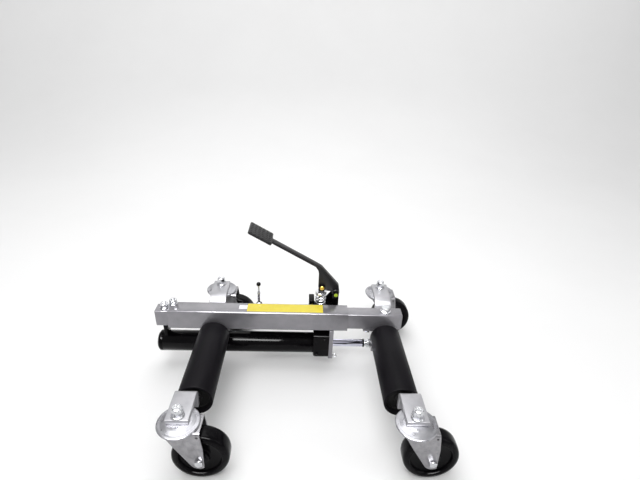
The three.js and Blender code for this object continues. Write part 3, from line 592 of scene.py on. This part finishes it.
def makeFork():
    shape = forkShape
    x, y = design["front_left"]
    side, top, bend = shape["side"], shape["top"], shape["bend"]
    channel = cube("frontLeftFork", at(x - 40, y - side, 30), at(x + shape["reach"] + 3, y + side, top))
    pick(channel, "EDGE", lambda a, b: abs(a.x - b.x) > 0.05 and a.z > 0.1)
    bpy.ops.mesh.bevel(offset=bend * mm, segments=5, profile=0.5)
    pick(channel, "FACE", lambda centre, normal: abs(normal.x) > 0.9 or normal.z < -0.9)
    bpy.ops.mesh.delete(type="FACE")
    # a crease runs down each leg, and the sheet in front of it leans in
    creaseX = at(x + shape["crease"], 0, 0).x
    bpy.ops.mesh.select_all(action="SELECT")
    bpy.ops.mesh.bisect(plane_co=(creaseX, 0, 0), plane_no=(1, 0, 0.12))
    bpy.ops.object.mode_set(mode="OBJECT")
    for sideSign in (-1, 1):
        pick(channel, "VERT", lambda spot: spot.x < creaseX - 5 * mm and spot.z < (top - bend - 1) * mm
             and (spot.y - kingpins["front_left"].y) * sideSign > 0)
        pivot = at(x + shape["crease"], y + sideSign * side, 80)
        lean = math.radians(-sideSign * shape["lean"])
        bpy.ops.transform.rotate(value=lean, orient_axis="Z", center_override=pivot)
    bpy.ops.object.mode_set(mode="OBJECT")
    addModifier(channel, "SOLIDIFY", thickness=shape["thick"] * mm, offset=-1, use_even_offset=True)
    left = -math.sqrt(shape["crown"] ** 2 - side**2)
    knee = shape["knee"]
    foot = arc(shape["trail"], shape["axle"], shape["foot"], 211, 378, 16)
    outline = [(left - 6, top + 1), (left, top), (left + 24, knee + 2)] + foot
    reach = shape["reach"]
    outline += [(reach + 3, knee), (reach - 2, top - 4), (reach - 2, top + 1)]
    outline = [(x + u, v) for u, v in outline]
    profile = drawn("forkProfile", outline, 1, y - 45, y + 45)
    combine(channel, profile, "INTERSECT")
    meet = math.degrees(math.acos((side - bend + 1) / shape["crown"]))
    disc = arc(x, y, shape["crown"], 90 - meet, 270 + meet, 40)
    crownPlate = drawn("forkCrown", disc, 2, shape["bottom"] + 0.01, top - 0.01)
    combine(channel, crownPlate, "UNION")
    holes = [("forkPinHole", 6.6, zAxis, at(x, y, top), 32),
             ("forkAxleHole", 6.3, yAxis, at(x + shape["trail"], y, shape["axle"]), 32),
             ("forkLockHole", shape["lockHole"], yAxis, at(x + reach - 8, y, shape["bottom"] - 6), 24)]
    for name, radius, axis, spot, sides in holes:
        half = 10 if axis == zAxis else 60
        hole = turned(name, [(radius, -half), (radius, half)], axis, spot, sides)
        combine(channel, hole, "DIFFERENCE")
    return soften(channel, 0.7, 2, 40, 30)


def makeWheel():  # half a section from hub to tread, turned with its mirror image
    hub = [(6.4, 23.5), (14, 23.5), (15, 23), (15.6, 21), (19.4, 20.6), (20.4, 19.8), (20.8, 13.6)]
    web = [(23, 12), (43, 12), (45.6, 13), (47, 18.6), (48.4, 20.4), (50.4, 20.8), (51, 20.2), (52.6, 20.1)]
    tread = [(53.4, 20.9), (56.4, 20.5), (60, 19.2), (62.6, 16.8), (64, 13), (64.5, 8)]
    half = hub + web + tread
    steps = [(r, -along) for r, along in half] + [(r, along) for r, along in reversed(half)]
    wheel = turned("frontLeftWheel", steps, yAxis, middle("front_left_wheel"), 96, bore=True)
    return soften(wheel, 0, smooth=32)


axleBoltShape = {"seat": 29.8, "across": 16.6, "height": 6, "radius": 6, "tip": 2, "sleeve": 23.7}


def makeAxleBolt():
    x, y = design["front_left"]
    centre = at(x + forkShape["trail"], y, forkShape["axle"])
    across, height, radius = axleBoltShape["across"], axleBoltShape["height"], axleBoltShape["radius"]
    out = yAxis * axleBoltShape["seat"] * mm
    front = hexHead("axleHead", -yAxis, centre - out, across, height)
    rear = hexHead("axleNut", yAxis, centre + out, across, height, None, (radius, axleBoltShape["tip"]))
    shank = turned("axleShank", [(radius, -30.5), (radius, 30.5)], yAxis, centre, 32)
    parts = [front, rear, soften(shank, 0)]
    sleeveSteps = [(6.2, 0), (8, 0), (8, 1.7), (6.2, 1.7)]
    for way in (-yAxis, yAxis):
        start = centre + way * axleBoltShape["sleeve"] * mm
        parts.append(soften(turned("axleSleeve", sleeveSteps, way, start, 32, bore=True), 0))
    return fuse("frontLeftAxleBolt", parts)


makers = {"Kingpin": (makeKingpin, zincBolt, "zinc_plate"), "Race": (makeRace, raceSteel, "zinc_plate"),
          "Fork": (makeFork, zincSteel, "zinc_plate"), "Wheel": (makeWheel, wheelPlastic, "wheel_black"),
          "AxleBolt": (makeAxleBolt, zincBolt, "zinc_plate")}
for kind, (make, material, slotName) in makers.items():
    first = make()
    nodeKind = {"AxleBolt": "axle_bolt"}.get(kind, kind.lower())
    for place, spot in kingpins.items():
        name = place.split("_")[0] + place.split("_")[1].title() + kind
        piece = first if place == "front_left" else copyOf(first, name, spot - kingpins["front_left"])
        piece.name = name
        fixed = "outer_frame" if "left" in place else "inner_frame"
        body = {"Kingpin": fixed, "Race": fixed, "Wheel": place + "_wheel"}.get(kind, place + "_swivel")
        ready(piece, material, slotName, body, f"{place}_{nodeKind}")
    print("casters:", kind)

ramShape = {"radius": 30, "bore": 25, "axis": 83, "left": -37.5, "cap": 13.7, "right": 413, "y": 25}
axisY, ramAxis = ramShape["y"], ramShape["axis"]
start = ramShape["left"] + ramShape["cap"] + 0.3
bore, radius, length = ramShape["bore"], ramShape["radius"], ramShape["right"] - start
steps = [(bore, 0), (radius - 0.5, 0), (radius, 0.5), (radius, 436), (radius - 0.5, length), (bore, length)]
cylinder = turned("ramTube", steps, xAxis, at(start, axisY, ramAxis), 96, bore=True)
lug = cube("ramLug", at(-18, axisY - 15, 100), at(-8, axisY + 15, 147.7))
soften(lug, 1.5, 3)
cylinder = fuse("ramTube", [soften(cylinder, 0, smooth=50), lug])
ready(cylinder, blackEnamel, "black_enamel", "outer_frame", "cylinder_tube")
steps = [(12, 0.6), (12.6, 0), (22.4, 0), (24.6, 0.5), (29.2, 4.6), (30, 6.4), (30, 12.6), (29.4, 13.7)]
cap = turned("ramCap", steps, xAxis, at(ramShape["left"], axisY, ramAxis), 96)
ready(soften(cap, 0, smooth=30), blackEnamel, "black_enamel", "outer_frame", "cylinder_cap")

low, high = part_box("head_block")
head = cube("headBlock", low, high)
pick(head, "EDGE", lambda a, b: abs(a.x - b.x) > 0.03)
bpy.ops.mesh.bevel(offset=8 * mm, segments=3, profile=0.5)
pick(head, "EDGE", lambda a, b: max(a.x, b.x) < low.x + mm and max(a.z, b.z) < 0.1)
bpy.ops.mesh.bevel(offset=7 * mm, segments=3, profile=0.5)
bpy.ops.object.mode_set(mode="OBJECT")
headBore = turned("headBore", [(11.4, -60), (11.4, 60)], xAxis, at(436, axisY, ramAxis), 48)
combine(head, headBore, "DIFFERENCE")
soften(head, 1.2, 3, 40)
ready(head, blackEnamel, "black_enamel", "outer_frame", "head_block")
# two cap screws on the front of the head
screwSteps = [(3.6, 0), (4, 0.4), (4, 3.2), (3.4, 3.8), (1.8, 3.8), (1.8, 2)]
screws = []
for x, z in ((446, 116), (424, 62)):
    screws.append(soften(turned("headScrew", screwSteps, -yAxis, at(x, -6.1, z), 24), 0))
headScrews = fuse("headScrews", screws)
ready(headScrews, blackEnamel, "black_enamel", "outer_frame")

length = spans("piston_rod").x
steps = [(10, 0), (11, 1), (11, length - 1.2), (10, length)]
rod = turned("ramRod", steps, xAxis, leftFace("piston_rod"), 64)
ready(soften(rod, 0, smooth=50), hardChrome, "chrome", "inner_frame", "piston_rod")
length = spans("piston").x
groove, land = 23, 24.6
steps = [(groove, 0), (land, 1.2), (land, 6), (groove, 6), (groove, 9), (land, 9), (land, 18), (groove, 18),
         (groove, 21), (land, 21), (land, length - 1.2), (groove, length)]
piston = turned("piston", steps, xAxis, leftFace("piston"), 64)
ready(soften(piston, 0), zincBolt, "zinc_plate", "inner_frame", "piston")

ringSteps = [(11.6, 0), (12.5, 0.9), (12.5, 3.1), (11.6, 4)]
ring = turned("rodRing", ringSteps, xAxis, leftFace("rod_ring"), 64)
ready(soften(ring, 0), blackEnamel, "black_enamel", "inner_frame", "rod_ring")
centre = leftFace("rod_end_fitting")
neckSteps = [(9.5, 0), (9.5, 3), (8.6, 3.4), (8.6, 4.6), (9.5, 5), (9.5, 9)]
neck = turned("rodNeck", neckSteps, xAxis, centre, 48)
nut = hexHead("rodNut", xAxis, centre + xAxis * 7.7 * mm, 22.4, 12)
fitting = fuse("rodEndFitting", [soften(neck, 0), nut])
ready(fitting, zincBolt, "zinc_plate", "inner_frame", "rod_end_fitting")

low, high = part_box("rod_bracket")
bracket = cube("rodBracket", Vector((high.x - 10 * mm, low.y, low.z)), high)
foot = cube("rodBracketFoot", Vector((low.x, low.y, high.z - 6 * mm)), high)
combine(bracket, foot, "UNION")
pick(bracket, "EDGE", lambda a, b: abs(a.x - b.x) > 5 * mm and max(a.z, b.z) < 0.1)
bpy.ops.mesh.bevel(offset=6 * mm, segments=5, profile=0.5)
bpy.ops.object.mode_set(mode="OBJECT")
soften(bracket, 1.0, 3)
ready(bracket, silverCoat, "silver_paint", "inner_frame", "rod_bracket")
low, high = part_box("rod_bracket_bolt")
seat = Vector((*middle("rod_bracket_bolt").xy, low.z + 7 * mm))
bracketBolt = hexHead("rodBracketBolt", -zAxis, seat, 13.8, 6.6)
shank = turned("bracketShank", [(3.9, 0), (3.9, (high.z - seat.z) / mm)], zAxis, seat, 24)
bracketBolt = fuse("rodBracketBolt", [bracketBolt, soften(shank, 0)])
ready(bracketBolt, zincBolt, "zinc_plate", "inner_frame", "rod_bracket_bolt")

low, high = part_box("cylinder_hanger")
left = (low.x - tubeCorner.x) / mm
hangerPlate = cube("cylinderHanger", low, Vector((low.x + 12 * mm, high.y, high.z)))
pick(hangerPlate, "EDGE", lambda a, b: abs(a.x - b.x) > 5 * mm and max(a.z, b.z) < 0.1)
bpy.ops.mesh.bevel(offset=5 * mm, segments=4, profile=0.5)
bpy.ops.object.mode_set(mode="OBJECT")
top = high.z / mm
ribLine = [(left + 11, top), (left + 11, top - 14), (left + 14, top - 14), (left + 26, top)]
combine(hangerPlate, drawn("hangerRib", ribLine, 1, 22, 28), "UNION")
hangerHole = turned("hangerHole", [(13, -30), (13, 30)], xAxis, at(left, axisY, ramAxis), 48)
combine(hangerPlate, hangerHole, "DIFFERENCE")
soften(hangerPlate, 0.9, 3)
ready(hangerPlate, silverCoat, "silver_paint", "outer_frame", "cylinder_hanger")
sealSteps = [(11.3, 0), (12.6, 0), (12.6, 13), (12.2, 13.4), (11.3, 13.4)]
seal = turned("rodSeal", sealSteps, xAxis, at(left - 1, axisY, ramAxis), 48, bore=True)
ready(soften(seal, 0), blackNylon, "black_enamel", "outer_frame")

clipShape = {"loop": 5.5, "wire": 1.3}
low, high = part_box("hanger_clip")
centre = Vector((high.x - 6.8 * mm, middle("hanger_clip").y, middle("hanger_clip").z))
ends = arc(0, 0, clipShape["loop"] * mm, -168, 168, 28)
loop = [centre + Vector((x, 0, z)) for x, z in ends]
start = Vector((low.x + mm, centre.y, centre.z))
clip = wire("hangerClip", [start, start.lerp(loop[0], 0.8)] + loop, clipShape["wire"], 4)
ready(soften(clip, 0, smooth=50), zincBolt, "zinc_plate", "outer_frame", "hanger_clip")
print("ram done")

pumpY = 78
pumpShape = {"left": 398, "right": 488, "bottom": 146, "top": 178, "front": 50.3, "back": 104,
             "plunger": 433, "tankAxis": 140, "lever": 249, "leverPin": 178}
left, back, plungerX = pumpShape["left"], pumpShape["back"], pumpShape["plunger"]
leverX, leverZ = pumpShape["lever"], pumpShape["leverPin"]
body = cube("pumpBody", at(left, pumpShape["front"], pumpShape["bottom"]),
            at(pumpShape["right"], back, pumpShape["top"]))
soften(body, 2.5, 4)
plungerAxis = at(plungerX, pumpY, 0)
barrel = turned("pumpBarrel", [(17, 112), (20, 115), (20, 150)], zAxis, plungerAxis, 64)
soften(barrel, 0, smooth=50)
bossSteps = [(18, 176), (18, 182.6), (16.6, 184), (11, 184), (7, 182)]
boss = soften(turned("pumpBoss", bossSteps, zAxis, plungerAxis, 64), 0)
shoulder = cube("pumpShoulder", at(left, pumpY - 13, 170), at(left + 16, back - 1, 204))
soften(shoulder, 2.0, 3)
tank = [(20, -173), (23, -172.6), (26.2, -169.5), (27, -167), (27, -8), (27.6, -7), (27.6, -4), (27, -3),
        (27, 2)]
tankPiece = turned("pumpTank", tank, xAxis, at(left, pumpY, pumpShape["tankAxis"]), 96)
soften(tankPiece, 0, smooth=40)


def roundedEar(name, low, high, corner, edge):  # a flat ear with its two upper corners rounded
    ear = cube(name, low, high)
    aboveMiddle = (low.z + high.z) / 2
    pick(ear, "EDGE", lambda a, b: abs(a.y - b.y) > 3 * mm and min(a.z, b.z) > aboveMiddle)
    bpy.ops.mesh.bevel(offset=corner * mm, segments=5, profile=0.5)
    bpy.ops.object.mode_set(mode="OBJECT")
    return soften(ear, edge, 2) if edge else ear


ears = []
for y in (pumpY - 7.5, pumpY + 7.5):
    ears.append(roundedEar("pumpEar", at(leverX - 9, y - 2.5, 150), at(leverX + 9, y + 2.5, 183), 7, 0.8))
pin = soften(turned("pumpEarPin", [(3, -12), (3, 12)], yAxis, at(leverX, pumpY, leverZ), 24), 0)
filler = hexHead("pumpFiller", zAxis, at(300, pumpY, 166), 12, 5, (8, 2))
plug = hexHead("pumpPlug", xAxis, at(488, pumpY + 4, 160), 13, 5, (8.5, 1.5))
body = fuse("pumpBody", [body, barrel, boss, shoulder, tankPiece, *ears, pin])
ready(body, blackEnamel, "black_enamel", "outer_frame", "pump_body")
ready(fuse("pumpPlugs", [filler, plug]), zincBolt, "zinc_plate", "outer_frame")

low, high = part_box("pressure_pipe")
pipeShape = {"radius": 3.9, "bend": 16, "top": 112, "nutAcross": 13, "nutHeight": 6}
pipeX = middle("pressure_pipe").x
back = high.y - 4 * mm
bend = pipeShape["bend"] * mm
upper = Vector((pipeX, back, pipeShape["top"] * mm))
lower = Vector((pipeX, low.y, ramAxis * mm))
route = [upper, Vector((pipeX, back, lower.z + bend))]
for i in range(1, 9):
    turn = math.radians(90 * i / 8)
    route.append(Vector((pipeX, back - bend + bend * math.cos(turn), lower.z + bend - bend * math.sin(turn))))
route.append(lower)
pipe = soften(wire("pressurePipe", route, pipeShape["radius"], 6), 0, smooth=50)
nuts = [hexHead("pipeNutTop", -zAxis, upper, pipeShape["nutAcross"], pipeShape["nutHeight"]),
        hexHead("pipeNutSide", yAxis, lower, pipeShape["nutAcross"], pipeShape["nutHeight"])]
ready(fuse("pressurePipe", [pipe, *nuts]), zincBolt, "zinc_plate", "outer_frame", "pressure_pipe")

# the pedal's fulcrum: two cheeks on the pump, the rear one wider
cheekShape = {"x": 476, "z": 229, "tip": 9, "seat": 178.3, "thick": 5, "base": 6}
pivotX, pivotZ, tip, seat = cheekShape["x"], cheekShape["z"], cheekShape["tip"], cheekShape["seat"]
cheeks = []
for left, front in ((pivotX - tip, 64), (449, 87)):
    outline = [(left, seat), (pivotX + tip, seat), (pivotX + tip, pivotZ)]
    outline += arc(pivotX, pivotZ, tip, 0, 180, 12)[1:]
    outline += [(left, 205)] if left < pivotX - tip else []
    cheeks.append(drawn("cheek", outline, 1, front, front + cheekShape["thick"]))
base = cube("cheekBase", at(pivotX - tip, 68, seat), at(pivotX + tip, 88, seat + cheekShape["base"]))
for cheek in cheeks:
    combine(base, cheek, "UNION")
soften(base, 0.8, 2)
ready(base, blackEnamel, "black_enamel", "outer_frame", "fulcrum_bracket")
centre = at(pivotX, pumpY, pivotZ)
head = hexHead("fulcrumHead", -yAxis, centre - yAxis * 14.3 * mm, 14.5, 6)
rear = hexHead("fulcrumNut", yAxis, centre + yAxis * 14.3 * mm, 14.5, 7, None, (5, 2))
shank = soften(turned("fulcrumShank", [(5, -15), (5, 15)], yAxis, centre, 32), 0)
ready(fuse("fulcrumBolt", [head, rear, shank]), blackEnamel, "black_enamel", "outer_frame", "fulcrum_bolt")
dab = turned("nutMark", [(5.6, 0), (5.4, 0.5), (4.0, 0.9)], -yAxis, centre - yAxis * 20.2 * mm, 24)
ready(soften(dab, 0), markerPaint, "yellow_zinc", "outer_frame")

pedalShape = {"web": 6, "strip": 18, "pad": (72, 70, 8), "rows": 6}
halfStrip, halfWeb = pedalShape["strip"] / 2, pedalShape["web"] / 2
armTop = [(286, 398), (414, 325), (432, 314), (484, 254)]
slope = math.atan2(armTop[0][1] - armTop[1][1], armTop[1][0] - armTop[0][0])
stripLine = armTop + [(479, 253), (432, 309), (414, 320), (286, 393)]
strip = soften(drawn("pedalStrip", stripLine, 1, pumpY - halfStrip, pumpY + halfStrip), 1.2, 3, 40)
webLine = [(286, 397), (286, 385), (414, 312), (422, 300), (424, 290), (424, 246)]
webLine += arc(435, 246, 11, 180, 270, 6)[1:] + [(440, 235.4), (452, 233)]
webLine += arc(pivotX, pivotZ, 11.5, 165, 378, 18) + [(484, 253), (432, 313), (414, 324)]
web = soften(drawn("pedalWeb", webLine, 1, pumpY - halfWeb, pumpY + halfWeb), 0.8, 2, 40)
bosses = []
for x, z, r, w in ((pivotX, pivotZ, 10, 8.6), (435, 246, 8.5, 3.6)):
    steps = [(r - 0.8, -w), (r, 0.8 - w), (r, w - 0.8), (r - 0.8, w)]
    bosses.append(soften(turned("pedalBoss", steps, yAxis, at(x, pumpY, z), 32), 0))
pedal = fuse("pedalArm", [strip, web, *bosses])
ready(pedal, pedalPaint, "pedal_black", "pedal", "pedal")
# the pad: a slab with a raised waffle tread and a lip all round
long, wide, deep = pedalShape["pad"]
letGo()
bpy.ops.mesh.primitive_cube_add(size=1)
bpy.context.object.scale = (long * mm, wide * mm, (deep - 1.6) * mm)
bpy.context.object.location = (0, 0, -(deep + 1.6) / 2 * mm)
pad = newest("pedalPad")
pick(pad, "EDGE", lambda a, b: abs(a.z - b.z) > 2 * mm)
bpy.ops.mesh.bevel(offset=5 * mm, segments=4, profile=0.5)
bpy.ops.object.mode_set(mode="OBJECT")
soften(pad, 1.0, 2)
letGo()
rows = pedalShape["rows"]
bpy.ops.mesh.primitive_grid_add(x_subdivisions=rows, y_subdivisions=rows, size=1, location=(0, 0, -1.7 * mm))
bpy.context.object.scale = ((long - 4) * mm, (wide - 4) * mm, 1)
tread = newest("padTread")
bpy.ops.object.mode_set(mode="EDIT")
bpy.ops.mesh.select_all(action="SELECT")
bpy.ops.mesh.inset(thickness=1.7 * mm, depth=0, use_individual=True)
bpy.ops.mesh.inset(thickness=0.7 * mm, depth=1.7 * mm, use_individual=True)
bpy.ops.object.mode_set(mode="OBJECT")
soften(tread, 0, smooth=20)
pad = fuse("pedalPad", [pad, tread])
pad.rotation_mode = "XYZ"
pad.rotation_euler = (0, slope, 0)
middlePad = long / 2 - 2
pad.location = at(290 - middlePad * math.cos(slope), pumpY, 400 + middlePad * math.sin(slope))
bpy.ops.object.transform_apply(location=True, rotation=True, scale=True)
ready(pad, pedalPaint, "pedal_black", "pedal")

pinCentre = at(435, pumpY, 246)
pinSteps = [(5.6, -12), (6.5, -11.2), (6.5, -9.4), (5.6, -9), (4, -9), (4, 11.2), (3.4, 12)]
plungerPin = soften(turned("plungerPin", pinSteps, yAxis, pinCentre, 32), 0)
ready(plungerPin, yellowChromate, "yellow_zinc", "pedal", "plunger_pin")

rodSteps = [(5.4, 150), (6, 150.8), (6, 221), (9, 222)]
collarSteps = [(14.8, 222), (16.5, 223), (16.5, 226), (15.4, 226.8), (15.4, 227.4), (16.5, 228.2),
               (16.5, 229.2), (15.6, 230)]
parts = [soften(turned("plungerRod", rodSteps, zAxis, plungerAxis, 32), 0),
         soften(turned("plungerCollar", collarSteps, zAxis, plungerAxis, 64), 0)]
slotCut = cube("slotCut", at(427, pumpY - 20, 241.2), at(439.8, pumpY + 20, 250.8))
pick(slotCut, "EDGE", lambda a, b: abs(a.y - b.y) > 5 * mm)
bpy.ops.mesh.bevel(offset=4 * mm, segments=5, profile=0.5)
bpy.ops.object.mode_set(mode="OBJECT")
ears = []
for front in (pumpY - 8, pumpY + 4):
    ear = roundedEar("plungerEar", at(425, front, 229), at(443, front + 4, 255), 6, 0)
    combine(ear, copyOf(slotCut, "slotCutter"), "DIFFERENCE")
    ears.append(soften(ear, 0.6, 2))
bpy.data.objects.remove(slotCut)
ready(fuse("plungerEars", ears), blackEnamel, "black_enamel", "plunger")
ready(fuse("plunger", parts), zincBolt, "zinc_plate", "plunger", "plunger")

springShape = {"radius": 14.3, "wire": 2.1, "turns": 3.5, "sides": 28}
low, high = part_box("return_spring")
bottom, top = low.z + 2.2 * mm, high.z - 2.2 * mm
coil = []
count = int(springShape["turns"] * springShape["sides"])
for i in range(count + 1):
    turn = i / springShape["sides"] * math.tau
    out = Vector((math.cos(turn), math.sin(turn), 0)) * springShape["radius"] * mm
    coil.append(Vector((*(plungerAxis + out).xy, bottom + (top - bottom) * i / count)))
spring = soften(wire("returnSpring", coil, springShape["wire"], 5), 0, smooth=50)
spring.data.materials.clear()
spring.data.materials.append(zincBolt)
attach(spring, "outer_frame")
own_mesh(spring)
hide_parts("return_spring")

stemSteps = [(3.2, 170), (3.6, 174), (3.6, 211), (3.4, 213), (4.6, 218.4), (4.6, 219.6), (3.2, 225),
             (2.6, 226), (2.4, 244)]
stem = soften(turned("releaseStem", stemSteps, zAxis, at(leverX, pumpY, 0), 32), 0)
eyeSteps = [(3.4, -4), (6.4, -4), (7, -3.4), (7, 3.4), (6.4, 4), (3.4, 4)]
eye = turned("releaseEye", eyeSteps, yAxis, at(leverX, pumpY, leverZ), 32, bore=True)
lever = fuse("releaseLever", [stem, soften(eye, 0)])
ready(lever, zincBolt, "zinc_plate", "release_lever", "release_lever")
ballSteps = arc(0, 249, 6.5, -70, 80, 10)
knob = turned("releaseKnob", ballSteps, zAxis, at(leverX, pumpY, 0), 32)
ready(soften(knob, 0, smooth=60), blackEnamel, "black_enamel", "release_lever")
print("pump done")

letGo()
bpy.ops.mesh.primitive_plane_add(size=1, location=(0, 0, 0))
backdrop = bpy.context.object
backdrop.name = "backdrop"
backdrop.scale = (14, 9, 1)
backdrop.location = (0, 0, -0.0005)
bpy.ops.object.transform_apply(location=True, rotation=True, scale=True)
pick(backdrop, "EDGE", lambda a, b: min(a.y, b.y) > 4)
bpy.ops.mesh.extrude_region_move(TRANSFORM_OT_translate={"value": (0, 0, 6)})
pick(backdrop, "EDGE", lambda a, b: min(a.y, b.y) > 4 and max(a.z, b.z) < 1)
bpy.ops.mesh.bevel(offset=2.5, segments=12, profile=0.5)
bpy.ops.object.mode_set(mode="OBJECT")
bpy.ops.object.shade_smooth()
# matt paper with a barely seen tooth
paper = surface("pale studio paper", {
    "dark": "#f2f2f2", "light": "#f5f5f5", "cloudSize": 900, "grainSize": 3, "grain": 0.004, "metallic": 0.0,
    "rough": (0.85, 0.9), "reliefSize": 4, "relief": 0.02})
backdrop.data.materials.append(paper)

world = bpy.data.worlds.new("studio")
bpy.context.scene.world = world
world.use_nodes = True
sky = world.node_tree.nodes["Background"].inputs
sky["Color"].default_value = (1, 1, 1, 1)
sky["Strength"].default_value = 0.42


def softLight(name, spot, aim, size, power, gloss=False):
    light = bpy.data.lights.new(name, "AREA")
    light.shape = "RECTANGLE"
    light.size, light.size_y = size
    light.energy = power
    lamp = bpy.data.objects.new(name, light)
    bpy.context.scene.collection.objects.link(lamp)
    lamp.location = spot
    lamp.visible_diffuse = not gloss  # a gloss light only draws highlights
    lamp.rotation_euler = (Vector(aim) - Vector(spot)).to_track_quat("-Z", "Y").to_euler()


softLight("topSoftbox", (-0.3, 0.3, 2.4), (0, 0, 0.1), (2.4, 1.4), 30)
softLight("frontSoftbox", (-0.3, -1.5, 2.2), (0, 0, 0.15), (1.8, 0.5), 18)
softLight("edgeStrip", (-0.2, -1.5, 2.3), (0, 0, 0.2), (2.8, 0.8), 210, gloss=True)
softLight("wallWash", (0, 2.6, 3.4), (0, 4.5, 0.8), (8, 1), 60)
softLight("rearSoftbox", (-0.2, 2.4, 1.9), (0, 0, 0.15), (3.0, 1.2), 8)
softLight("sideStrip", (2.2, -0.8, 1.3), (0, 0, 0.1), (0.5, 1.4), 6)

cameraPlace = {"x": 367.2, "y": -1013.0, "z": 921.2, "yaw": 2.9, "pitch": -25.6, "roll": 2.8, "lens": 24.35}
lens = bpy.data.cameras.new("camera")
lens.sensor_width = 36
lens.lens = cameraPlace["lens"]
camera = bpy.data.objects.new("camera", lens)
bpy.context.scene.collection.objects.link(camera)
turn = (Matrix.Rotation(math.radians(-cameraPlace["yaw"]), 4, "Z")
        @ Matrix.Rotation(math.radians(90 + cameraPlace["pitch"]), 4, "X")
        @ Matrix.Rotation(math.radians(cameraPlace["roll"]), 4, "Z"))
camera.matrix_world = Matrix.Translation(at(cameraPlace["x"], cameraPlace["y"], cameraPlace["z"])) @ turn
bpy.context.scene.camera = camera
bpy.context.scene.view_settings.view_transform = "Standard"
print("studio done")
